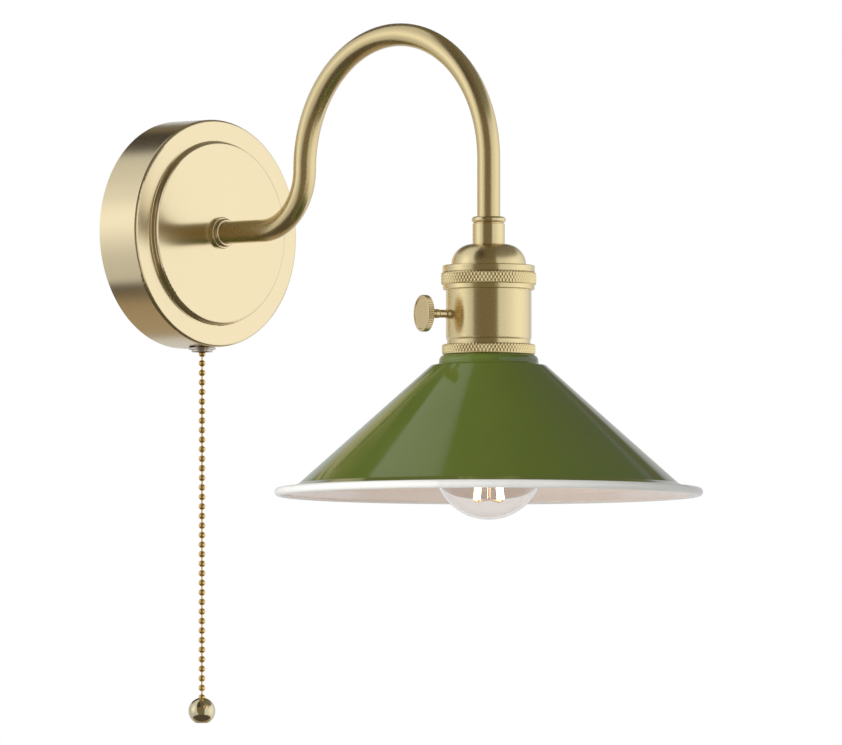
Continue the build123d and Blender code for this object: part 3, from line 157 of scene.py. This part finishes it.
def surface(name, colour, metallic=0.0, roughness=0.5, **sockets):
    """A new material with one Principled shader. Returns the material, its graph and the shader."""
    material = bpy.data.materials.new(name)
    material.use_nodes = True
    graph = Graph(material.node_tree)
    shader = graph.add("ShaderNodeBsdfPrincipled")
    output = graph.add("ShaderNodeOutputMaterial")
    graph.tree.links.new(shader.outputs[0], output.inputs["Surface"])
    shader.inputs["Base Color"].default_value = rgba(colour)
    shader.inputs["Metallic"].default_value = metallic
    shader.inputs["Roughness"].default_value = roughness
    for socket, value in sockets.items():
        shader.inputs[socket.replace("_", " ")].default_value = value
    return material, graph, shader


def link(graph, output, shader, socket):
    graph.tree.links.new(output, shader.inputs[socket])


NOISE_BODY = (0.25, 0.75)  # most of a noise's values lie between these
BROAD_GRAINS = 40  # fine grains across one broad patch
GRAIN_BUMP = 0.5
ROUGH_SHARE = 0.25  # how far a plain finish's roughness varies, as a share of it


def vary(graph, shader, fine, colour, spread, roughness, rough_spread, depth, vector):
    """Lets colour, roughness and height follow a fine noise, and the colour a broad one too."""
    broad = graph.noise(vector, fine / BROAD_GRAINS, 3)
    small = graph.noise(vector, fine, 4, 0.6)
    darker = rgba([channel * (1 - spread) for channel in colour])
    lighter = rgba([min(1.0, channel * (1 + spread)) for channel in colour])
    blend = graph.math("MULTIPLY_ADD", small, 0.5, graph.math("MULTIPLY", broad, 0.5))
    link(graph, graph.mix(blend, darker, lighter), shader, "Base Color")
    rough = graph.step(small, *NOISE_BODY, roughness - rough_spread, roughness + rough_spread)
    link(graph, rough, shader, "Roughness")
    bump = graph.add("ShaderNodeBump", {"Strength": GRAIN_BUMP, "Distance": depth, "Height": small})
    link(graph, bump.outputs[0], shader, "Normal")


def plain_finish(name, colour, metallic, roughness, grain=1200.0, spread=0.05, depth=0.00001, **sockets):
    """A cast, moulded, plated or drawn surface with a fine even grain."""
    material, graph, shader = surface(name, colour, metallic, roughness, **sockets)
    place = graph.add("ShaderNodeTexCoord").outputs["Object"]
    vary(graph, shader, grain, colour, spread, roughness, roughness * ROUGH_SHARE, depth, place)
    return material


BRASS = (0.83, 0.69, 0.385)
PLATE_BRASS = (0.83, 0.705, 0.45)
TUBE_BRASS = (0.77, 0.63, 0.34)
KNOB_BRASS = (0.84, 0.68, 0.38)
BRASS_ROUGHNESS = 0.27
LACQUER = {"Coat_Weight": 0.5, "Coat_Roughness": 0.2, "Coat_IOR": 1.5}
TURNED_ANISOTROPY = 0.8
BRUSH_PER_M = 2600.0
BRUSH_ROUND = 0.9
BRUSH_SHARE = 0.6  # of the strokes in the colour, the rest is a broad cloud
BRUSH_CLOUDS_PER_M = 30.0
BRUSH_DARKER = 0.98
BRUSH_LIGHTER = 1.03
BRUSH_ROUGH_SPREAD = 0.02
BRUSH_DEPTH = {"Strength": 0.01, "Distance": 0.00002}


def brushed_brass(name, centre, axis, colour=BRASS, roughness=BRASS_ROUGHNESS, turned=True):
    """Lacquered brass with strokes round an axis. A turned piece spreads its highlights across them."""
    material, graph, shader = surface(name, colour, 1.0, roughness, **LACQUER)
    place = graph.vector("SUBTRACT", graph.add("ShaderNodeTexCoord").outputs["Object"], centre)
    height = graph.vector("DOT_PRODUCT", place, axis)
    across = graph.vector("SUBTRACT", place, graph.scale(tuple(axis), height))
    radius = graph.vector("LENGTH", across)
    outward = graph.vector("NORMALIZE", across)
    lines = graph.add("ShaderNodeCombineXYZ", {0: radius, 1: height}).outputs[0]
    lines = graph.vector("ADD", graph.scale(lines, BRUSH_PER_M), graph.scale(outward, BRUSH_ROUND))
    strokes = graph.noise(lines, 1.0, 3, 0.65)
    broad = graph.math("MULTIPLY", graph.noise(place, BRUSH_CLOUDS_PER_M, 2), 1 - BRUSH_SHARE)
    blend = graph.math("MULTIPLY_ADD", strokes, BRUSH_SHARE, broad)
    darker = rgba([channel * BRUSH_DARKER for channel in colour])
    lighter = rgba([min(1.0, channel * BRUSH_LIGHTER) for channel in colour])
    link(graph, graph.mix(blend, darker, lighter), shader, "Base Color")
    rough = graph.step(strokes, *NOISE_BODY, roughness - BRUSH_ROUGH_SPREAD, roughness + BRUSH_ROUGH_SPREAD)
    link(graph, rough, shader, "Roughness")
    bump = graph.add("ShaderNodeBump", {**BRUSH_DEPTH, "Height": strokes})
    link(graph, bump.outputs[0], shader, "Normal")
    if turned:
        shader.inputs["Anisotropic"].default_value = TURNED_ANISOTROPY
        along = graph.vector("CROSS_PRODUCT", tuple(axis), outward)
        normal = graph.add("ShaderNodeNewGeometry").outputs["Normal"]
        tangent = graph.vector("CROSS_PRODUCT", along, normal)
        link(graph, graph.vector("NORMALIZE", tangent), shader, "Tangent")
    return material


OLIVE = (0.098, 0.134, 0.021)
# The next colour is a painted highlight: a bright yellow-green line where the olive meets the rolled bead.
PAINTED_HIGHLIGHT_OLIVE = (0.30, 0.34, 0.05)
ENAMEL_WHITE = (0.76, 0.755, 0.72)
# The lining colour is white enamel, tinted warm with a painted glow of the lit bulb.
LINING_WHITE_AND_GLOW = (0.86, 0.74, 0.66)
OLIVE_SPREAD = 0.08
LINING_SPREAD = 0.03
ENAMEL_CLOUDS_PER_M = 26.0
ENAMEL_CLOUD_BODY = (0.3, 0.7)
ENAMEL_SPECKS_PER_M = 900.0
ENAMEL_SPECK_SHARE = 0.05
ENAMEL_RIPPLES_PER_M = 60.0
ENAMEL_ROUGHNESS = (0.07, 0.12)
ENAMEL_RIPPLE = {"Strength": 0.12, "Distance": 0.0002}
BEAD_START_R = 89.6 * MM
BEAD_START_SOFT = 0.1 * MM
# Width of the painted highlight line inside the bead.
HIGHLIGHT_LINE_W = 0.9 * MM
HIGHLIGHT_LINE_FULL = 0.3 * HIGHLIGHT_LINE_W


def shade_enamel():
    """Vitreous enamel: olive outside, white inside with a painted warm glow of the bulb, white on the rolled
    bead, and a painted highlight as a thin bright line between.
    """
    material, graph, shader = surface("olive_enamel", OLIVE, 0.0, 0.10, Coat_Weight=0.15, Coat_Roughness=0.05)
    place = graph.vector("SUBTRACT", graph.add("ShaderNodeTexCoord").outputs["Object"], HOLDER_AXIS)
    flat = graph.vector("MULTIPLY", place, (1, 1, 0))
    radius = graph.vector("LENGTH", flat)
    up_and_out = graph.vector("ADD", graph.vector("NORMALIZE", flat), tuple(UP))
    normal = graph.add("ShaderNodeNewGeometry").outputs["True Normal"]
    outside = graph.math("GREATER_THAN", graph.vector("DOT_PRODUCT", normal, up_and_out), 0.0)
    cloud = graph.noise(place, ENAMEL_CLOUDS_PER_M, 3)
    speck = graph.noise(place, ENAMEL_SPECKS_PER_M, 2)
    thin_olive = rgba([channel * (1 - OLIVE_SPREAD) for channel in OLIVE])
    full_olive = rgba([channel * (1 + OLIVE_SPREAD) for channel in OLIVE])
    # A painted highlight: a thin bright line just inside the bead.
    edge = graph.step(radius, BEAD_START_R - HIGHLIGHT_LINE_W, BEAD_START_R - HIGHLIGHT_LINE_FULL)
    outer = graph.mix(edge, graph.mix(cloud, thin_olive, full_olive), rgba(PAINTED_HIGHLIGHT_OLIVE))
    # The lining: white enamel with the bulb's warm glow painted into its colour.
    thin_lining = rgba([channel * (1 - LINING_SPREAD) for channel in LINING_WHITE_AND_GLOW])
    lining = graph.mix(cloud, thin_lining, rgba(LINING_WHITE_AND_GLOW))
    sheet = graph.mix(outside, lining, outer)
    bead = graph.step(radius, BEAD_START_R - BEAD_START_SOFT, BEAD_START_R + BEAD_START_SOFT)
    link(graph, graph.mix(bead, sheet, rgba(ENAMEL_WHITE)), shader, "Base Color")
    link(graph, graph.step(cloud, *ENAMEL_CLOUD_BODY, *ENAMEL_ROUGHNESS), shader, "Roughness")
    ripple = graph.noise(place, ENAMEL_RIPPLES_PER_M, 1)
    ripple = graph.math("MULTIPLY_ADD", speck, ENAMEL_SPECK_SHARE, ripple)
    bump = graph.add("ShaderNodeBump", {**ENAMEL_RIPPLE, "Height": ripple})
    link(graph, bump.outputs[0], shader, "Normal")
    return material


GLASS_TINT = (0.89, 0.865, 0.85)
GLASS_IOR = 1.46
GLASS_WAVES_PER_M = 45.0
GLASS_WAVE = {"Strength": 0.05, "Distance": 0.0003}


def clear_glass():
    """Thin blown glass, a little wavy."""
    clear = {"Transmission_Weight": 1.0, "IOR": GLASS_IOR}
    material, graph, shader = surface("clear_glass", GLASS_TINT, 0.0, 0.0, **clear)
    place = graph.add("ShaderNodeTexCoord").outputs["Object"]
    wave = graph.noise(place, GLASS_WAVES_PER_M, 1)
    bump = graph.add("ShaderNodeBump", {**GLASS_WAVE, "Height": wave})
    link(graph, bump.outputs[0], shader, "Normal")
    return material


PHOSPHOR = (0.95, 0.70, 0.32)
CHIP_GLOW = (1.0, 0.74, 0.38)
CHIP_GAP_GLOW = (1.0, 0.50, 0.16)
CHIPS_PER_M = 1100.0
GLOW_STRENGTH = 14.0


def glowing_filament():
    """A phosphor strip: small chips in a row, warm and bright."""
    material, graph, shader = surface("filament", PHOSPHOR, 0.0, 0.5, Emission_Strength=GLOW_STRENGTH)
    place = graph.add("ShaderNodeTexCoord").outputs["Object"]
    height = graph.add("ShaderNodeSeparateXYZ", {0: place}).outputs[2]
    chips = graph.math("PINGPONG", graph.math("MULTIPLY", height, CHIPS_PER_M), 1.0)
    glow = graph.mix(chips, rgba(CHIP_GAP_GLOW), rgba(CHIP_GLOW))
    link(graph, glow, shader, "Emission Color")
    return material


def insulated_wire(name, colour):
    """Satin plastic insulation."""
    return plain_finish(name, colour, 0.0, 0.38, grain=900.0, spread=0.08, depth=0.00002)


# ---------------------------------------------------------------- meshes


def lathe_mesh(name, outline_at, segments):
    """A closed ring round the lampholder's axis. outline_at(turn) gives its section as (radius, height)."""
    mesh = bmesh.new()
    sections = []
    for index in range(segments):
        turn = 2 * math.pi * index / segments
        points = [place_on_holder(radius, turn, height) for radius, height in outline_at(turn)]
        sections.append([mesh.verts.new(point) for point in points])
    count = len(sections[0])
    for index in range(segments):
        here = sections[index]
        there = sections[(index + 1) % segments]
        for point in range(count):
            beyond = (point + 1) % count
            mesh.faces.new((here[point], here[beyond], there[beyond], there[point]))
    bmesh.ops.recalc_face_normals(mesh, faces=mesh.faces)
    data = bpy.data.meshes.new(name)
    mesh.to_mesh(data)
    mesh.free()
    piece = bpy.data.objects.new(name, data)
    bpy.context.scene.collection.objects.link(piece)
    return piece


def place_on_holder(radius, turn, height):
    """A point round the lampholder's axis, its height measured in the frame."""
    return (radius * math.cos(turn), HOLDER_OUT + radius * math.sin(turn), height)


def knurl_height(turn, height):
    """0 in the grooves to 1 on the crests of a cross knurl, two sets of V grooves."""
    along = turn * KNURL_COUNT / (2 * math.pi)
    down = height / KNURL_PITCH
    grooves = [abs((line % 1.0) - 0.5) * 2 for line in (along + down, along - down)]
    return min(KNURL_CREST, *grooves) / KNURL_CREST


def knurled_ring(name, node, bore_r, band_low, band_high, chamfer, below=()):
    """A ring with a diamond-knurled band, in place of a CAD node. below is the rest of its outline."""
    crest_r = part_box(node)[1].x
    rows = round((band_high - band_low) / KNURL_PITCH * KNURL_STEPS)

    def outline(turn):
        points = [(bore_r, band_high)]
        for index in range(rows + 1):
            z = band_high - (band_high - band_low) * index / rows
            bevel = max(0.0, chamfer - min(band_high - z, z - band_low))
            depth = KNURL_DEPTH * (1 - knurl_height(turn, z))
            points.append((crest_r - max(bevel, depth), z))
        points.extend(below)
        points.append((bore_r, below[-1][1] if below else band_low))
        return points

    ring = lathe_mesh(name, outline, KNURL_COUNT * KNURL_STEPS)
    smooth(ring, KNURL_SMOOTH_DEGREES)
    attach(ring, "fixture")
    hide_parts(node)
    return ring


def smooth(piece, degrees):
    """Shades a mesh smooth, apart from its sharp edges."""
    data = piece.data
    data.polygons.foreach_set("use_smooth", [True] * len(data.polygons))
    data.set_sharp_from_angle(angle=math.radians(degrees))


def union_ring():
    """The knurled ring that screws the dome cap to the shell, with its plain lip below."""
    low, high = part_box("union_ring")
    band_low = high.z - UNION_BAND_H
    lip = [
        (UNION_LIP_R, band_low),
        (UNION_LIP_R, low.z + UNION_LIP_CHAMFER),
        (UNION_LIP_R - UNION_LIP_CHAMFER, low.z),
    ]
    band = (band_low, high.z)
    return knurled_ring("union_ring_knurled", "union_ring", SHELL_TUBE_R, *band, UNION_CHAMFER, lip)


def shade_ring():
    """The knurled ring that clamps the shade."""
    low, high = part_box("shade_ring")
    return knurled_ring("shade_ring_knurled", "shade_ring", SKIRT_TUBE_R, low.z, high.z, SHADE_RING_CHAMFER)


# ---------------------------------------------------------------- studio


def camera():
    """The view of the photograph."""
    data = bpy.data.cameras.new("photo_camera")
    data.sensor_width = SENSOR_WIDTH
    data.lens = FOCAL_PX * SENSOR_WIDTH / IMAGE_WIDTH_PX
    data.clip_end = CAMERA_REACH
    back = Vector(STUDIO_FRONT * math.cos(CAMERA_ELEVATION) + UP * math.sin(CAMERA_ELEVATION))
    eye = bpy.data.objects.new("photo_camera", data)
    eye.location = CAMERA_TARGET + back * CAMERA_DISTANCE
    eye.rotation_euler = (-back).to_track_quat("-Z", "Y").to_euler()
    bpy.context.scene.collection.objects.link(eye)
    bpy.context.scene.camera = eye


def studio_direction(right, front, up):
    """A direction by its shares to the viewer's right, towards the viewer and up."""
    return tuple((STUDIO_RIGHT * right + STUDIO_FRONT * front + UP * up).normalized())


# The studio in reflections. An edge is the range of a direction's share over which a part begins.
FLOOR_EDGE = (-0.58, -0.52)
FLOOR_NEAR_EDGE = (-0.36, -0.26)
FLOOR_FAR = (0.40, 0.32, 0.22)
FLOOR_NEAR = (0.10, 0.08, 0.06)
ROOM_TONE = (0.20, 0.165, 0.11)
CEILING_EDGE = (0.42, 0.54)
CEILING_MIDDLE_EDGE = (-0.26, -0.16)
CEILING_RIGHT_EDGE = (0.20, 0.40)
CEILING_LEFT = (0.06, 0.05, 0.045)
CEILING_MIDDLE = (0.15, 0.125, 0.08)
CEILING_RIGHT = (0.20, 0.19, 0.16)
BACKDROP_FRONT_EDGE = (-0.78, -0.60)
BACKDROP_TOP_EDGE = (0.30, 0.42)
BACKDROP_LEVEL = 0.66
LEFT_BANK_SIDE = (-0.738, -0.616, -0.268)
LEFT_BANK_SIDE_EDGE = (0.0, 0.03)
LEFT_BANK_END = -0.76
LEFT_BANK_SHORTER_OVERHEAD = 0.26
LEFT_BANK_END_EDGE = (-0.02, 0.02)
LEFT_BANK_MIDDLE_EDGE = (-0.25, -0.15)
LEFT_BANK_LEVEL = 0.62
LEFT_BANK_GLOW = 0.62
LEFT_BANK_GLOW_AT = (-0.97, 0.16, 0.22)
LEFT_BANK_GLOW_SHARPNESS = 14.0
LEFT_BANK_MORE_OVERHEAD = 0.10
RIGHT_BANK_SIDE = (0.92, -0.39, 0.0)
RIGHT_BANK_SIDE_EDGE = (-0.02, 0.06)
RIGHT_BANK_END_EDGE = (-0.86, -0.70)
RIGHT_BANK_TOP_EDGE = (0.46, 0.60)
RIGHT_BANK_LEVEL = 0.78
RIGHT_BANK_GLOW = 0.32
RIGHT_BANK_GLOW_AT = (1.0, 0.0, 0.05)
RIGHT_BANK_GLOW_SHARPNESS = 5.0


def facing(graph, direction, shares):
    """How far a direction points the way that these shares of right, front and up give."""
    return graph.vector("DOT_PRODUCT", direction, studio_direction(*shares))


def lobe(graph, direction, shares, sharpness):
    """A soft round patch of light."""
    return graph.math("POWER", graph.math("MAXIMUM", facing(graph, direction, shares), 0.0), sharpness)


def left_bank(graph, direction, right, front, overhead):
    """The bank at the left. It ends before the backdrop, and overhead it stops short of the middle."""
    end = graph.math("MULTIPLY_ADD", overhead, LEFT_BANK_SHORTER_OVERHEAD, LEFT_BANK_END)
    extent = graph.product(
        graph.step(facing(graph, direction, LEFT_BANK_SIDE), *LEFT_BANK_SIDE_EDGE),
        graph.step(graph.math("SUBTRACT", front, end), *LEFT_BANK_END_EDGE),
    )
    over_middle = graph.product(overhead, graph.step(right, *LEFT_BANK_MIDDLE_EDGE))
    glow = lobe(graph, direction, LEFT_BANK_GLOW_AT, LEFT_BANK_GLOW_SHARPNESS)
    level = graph.math("MULTIPLY_ADD", glow, LEFT_BANK_GLOW, LEFT_BANK_LEVEL)
    level = graph.math("MULTIPLY_ADD", overhead, LEFT_BANK_MORE_OVERHEAD, level)
    return graph.product(extent, graph.math("SUBTRACT", 1.0, over_middle), level)


def right_bank(graph, direction, front, up):
    """The bank at the right, which ends before the backdrop and below the ceiling."""
    extent = graph.product(
        graph.step(facing(graph, direction, RIGHT_BANK_SIDE), *RIGHT_BANK_SIDE_EDGE),
        graph.step(front, *RIGHT_BANK_END_EDGE),
        graph.step(up, *RIGHT_BANK_TOP_EDGE, 1.0, 0.0),
    )
    glow = lobe(graph, direction, RIGHT_BANK_GLOW_AT, RIGHT_BANK_GLOW_SHARPNESS)
    return graph.product(extent, graph.math("MULTIPLY_ADD", glow, RIGHT_BANK_GLOW, RIGHT_BANK_LEVEL))


def studio_reflection(graph):
    """What a glossy surface sees of the studio: a light bank each side, a pale backdrop, a dark ceiling."""
    direction = graph.add("ShaderNodeTexCoord").outputs["Generated"]
    axes = (STUDIO_RIGHT, STUDIO_FRONT, UP)
    right, front, up = [graph.vector("DOT_PRODUCT", direction, tuple(axis)) for axis in axes]
    above_floor = graph.step(up, *FLOOR_EDGE)
    overhead = graph.step(up, *CEILING_EDGE)

    left = left_bank(graph, direction, right, front, overhead)
    backdrop = graph.product(
        graph.step(front, *BACKDROP_FRONT_EDGE, 1.0, 0.0),
        graph.step(up, *BACKDROP_TOP_EDGE, 1.0, 0.0),
        BACKDROP_LEVEL,
    )
    lights = graph.math("MAXIMUM", left, right_bank(graph, direction, front, up))
    lights = graph.product(graph.math("MAXIMUM", lights, backdrop), above_floor)

    ceiling = graph.mix(graph.step(right, *CEILING_MIDDLE_EDGE), rgba(CEILING_LEFT), rgba(CEILING_MIDDLE))
    ceiling = graph.mix(graph.step(right, *CEILING_RIGHT_EDGE), ceiling, rgba(CEILING_RIGHT))
    room = graph.mix(overhead, rgba(ROOM_TONE), ceiling)
    floor = graph.mix(graph.step(front, *FLOOR_NEAR_EDGE), rgba(FLOOR_FAR), rgba(FLOOR_NEAR))
    room = graph.mix(above_floor, floor, room)
    white = graph.add("ShaderNodeCombineXYZ", {0: lights, 1: lights, 2: lights}).outputs[0]
    return graph.vector("MAXIMUM", room, white)


DIFFUSE_LEVEL = 0.52


def studio_world():
    """White where the camera and clear glass look, the studio in reflections, an even light elsewhere."""
    world = bpy.data.worlds.new("studio")
    world.use_nodes = True
    world.cycles.sampling_method = "NONE"
    graph = Graph(world.node_tree)
    path = graph.add("ShaderNodeLightPath").outputs
    seen = graph.math("MAXIMUM", path["Is Camera Ray"], path["Is Transmission Ray"])
    colour = graph.mix(seen, studio_reflection(graph), rgba((1.0, 1.0, 1.0)))
    colour = graph.mix(path["Is Diffuse Ray"], colour, rgba((DIFFUSE_LEVEL,) * 3))
    background = graph.add("ShaderNodeBackground", {"Color": colour})
    output = graph.add("ShaderNodeOutputWorld")
    graph.tree.links.new(background.outputs[0], output.inputs["Surface"])
    bpy.context.scene.world = world


def soft_lamp(name, towards, level):
    """A square soft box that lights a facing white surface to the given level. Reflections don't show it."""
    data = bpy.data.lights.new(name, "AREA")
    data.shape = "SQUARE"
    data.size = LAMP_SIZE
    data.energy = level * math.pi**2 * LAMP_DISTANCE**2
    lamp = bpy.data.objects.new(name, data)
    away = Vector(towards)
    lamp.location = CAMERA_TARGET + away * LAMP_DISTANCE
    lamp.rotation_euler = (-away).to_track_quat("-Z", "Y").to_euler()
    lamp.visible_glossy = False
    bpy.context.scene.collection.objects.link(lamp)


def studio_floor():
    """A large pale floor below the light."""
    mesh = bpy.data.meshes.new("floor")
    half = FLOOR_SIZE / 2
    corners = [(-half, -half, FLOOR_Z), (half, -half, FLOOR_Z), (half, half, FLOOR_Z), (-half, half, FLOOR_Z)]
    mesh.from_pydata(corners, [], [(0, 1, 2, 3)])
    floor = bpy.data.objects.new("floor", mesh)
    floor.visible_glossy = False
    floor.visible_transmission = False
    material, graph, shader = surface("floor", (0.90, 0.90, 0.90), 0.0, 0.8, Specular_IOR_Level=0.1)
    place = graph.add("ShaderNodeTexCoord").outputs["Object"]
    tone = graph.mix(graph.noise(place, 1.5, 3), rgba((0.895, 0.895, 0.89)), rgba((0.905, 0.905, 0.905)))
    link(graph, tone, shader, "Base Color")
    mesh.materials.append(material)
    bpy.context.scene.collection.objects.link(floor)


# ---------------------------------------------------------------- dressing


def dress(piece, material):
    """Gives a piece one material on every face."""
    piece.data.materials.clear()
    piece.data.materials.append(material)


SMOOTH_DEGREES = 32
ROUND_DEGREES = 60  # for beads and glass, whose facets meet at wider angles


def dress_nodes(material, names, degrees=SMOOTH_DEGREES):
    """Gives CAD nodes one material and smooth shading."""
    for name in names:
        dress(nodes[name], material)
        smooth(nodes[name], degrees)


def finishes():
    """The finish of every piece."""
    plate_brass = brushed_brass("plate_brass", WALL_PLATE_AXIS, OUT_OF_WALL, PLATE_BRASS, 0.17)
    holder_brass = brushed_brass("holder_brass", HOLDER_AXIS, UP)
    key_brass = brushed_brass("key_brass", KEY_AXIS, KEY_DIRECTION, KNOB_BRASS, 0.30, turned=False)
    tube_brass = brushed_brass("tube_brass", WALL_PLATE_AXIS, SIDEWAYS, TUBE_BRASS, 0.28, turned=False)
    knurl_brass = plain_finish("knurl_brass", BRASS, 1.0, 0.24, spread=0.06)
    dress_nodes(plate_brass, ["canopy", "arm_collar"])
    dress_nodes(holder_brass, ["neck_ring", "neck_sleeve", "holder_cap", "socket_shell", "shade_inner_ring"])
    dress_nodes(key_brass, ["turn_knob", "key_bush"])
    dress_nodes(tube_brass, ["arm_tube"])
    dress(union_ring(), knurl_brass)
    dress(shade_ring(), knurl_brass)
    dress_nodes(shade_enamel(), ["shade"])

    chain_brass = plain_finish("chain_brass", (0.85, 0.58, 0.23), 1.0, 0.24, spread=0.08)
    dress_nodes(chain_brass, ["chain_top_bead", "chain_beads", "chain_links", "chain_lead"], ROUND_DEGREES)
    dress_nodes(plain_finish("antique_brass", (0.74, 0.67, 0.44), 1.0, 0.12, spread=0.06), ["ball_pull"])
    nickel = plain_finish("nickel", (0.62, 0.57, 0.52), 1.0, 0.20)
    nickel_pieces = ["switch_ring_nut", "switch_nozzle", "arm_lock_washer", "arm_locknut", "holder_locknut"]
    dress_nodes(nickel, nickel_pieces)

    zinc = plain_finish("zinc_steel", (0.62, 0.63, 0.64), 1.0, 0.33, spread=0.08)
    zinc_pieces = ["wall_bracket", "canopy_screws", "earth_washer", "terminal_screws", "block_screw"]
    zinc_pieces += ["switch_rivets", "spool_axle", "spool_spring", "key_spindle", "socket_terminal_screws"]
    dress_nodes(zinc, zinc_pieces)
    contact = plain_finish("contact_brass", (0.80, 0.62, 0.30), 1.0, 0.30)
    contact_pieces = ["earth_screw", "terminal_tubes", "switch_contacts", "socket_terminals"]
    contact_pieces += ["centre_contact", "screw_shell", "key_leaf"]
    dress_nodes(contact, contact_pieces)
    white = plain_finish("white_plastic", (0.80, 0.80, 0.77), 0.0, 0.42, spread=0.02)
    dress_nodes(white, ["terminal_block", "pull_spool", "key_cam"])
    black = plain_finish("black_plastic", (0.035, 0.035, 0.037), 0.0, 0.4)
    dress_nodes(black, ["switch_case", "switch_cover"])
    fibre = plain_finish("fibre_liner", (0.42, 0.30, 0.18), 0.0, 0.75, grain=700.0, spread=0.15)
    dress_nodes(fibre, ["socket_liner"])
    ceramic = plain_finish("ceramic", (0.82, 0.80, 0.74), 0.0, 0.16, Coat_Weight=0.4)
    dress_nodes(ceramic, ["socket_core"])
    dress_nodes(insulated_wire("flex_sheath", (0.72, 0.71, 0.68)), ["lamp_flex"])
    brown_wire = insulated_wire("brown_wire", (0.16, 0.06, 0.025))
    dress_nodes(brown_wire, ["canopy_wires", "switch_wires", "holder_wires"])

    cap_metal = plain_finish("bulb_cap_metal", (0.66, 0.64, 0.60), 1.0, 0.22)
    dress_nodes(cap_metal, ["bulb_screw_cap", "bulb_cap_skirt", "bulb_contact"])
    dress_nodes(plain_finish("black_glass", (0.02, 0.02, 0.022), 0.0, 0.12), ["bulb_insulator"])
    dress_nodes(plain_finish("driver_board", (0.03, 0.16, 0.07), 0.0, 0.5, spread=0.2), ["bulb_driver"])
    dress_nodes(clear_glass(), ["bulb_glass", "bulb_stem"], ROUND_DEGREES)
    dress_nodes(glowing_filament(), ["bulb_filaments"])
    dress_nodes(plain_finish("lead_wire", (0.62, 0.50, 0.30), 1.0, 0.3), ["bulb_support_wires"])


bpy.context.scene.view_settings.view_transform = "Standard"
camera()
studio_world()
soft_lamp("key_lamp", studio_direction(-0.55, 0.80, 0.22), 0.58)
soft_lamp("fill_lamp", studio_direction(-0.88, 0.47, -0.03), 0.25)
studio_floor()
finishes()
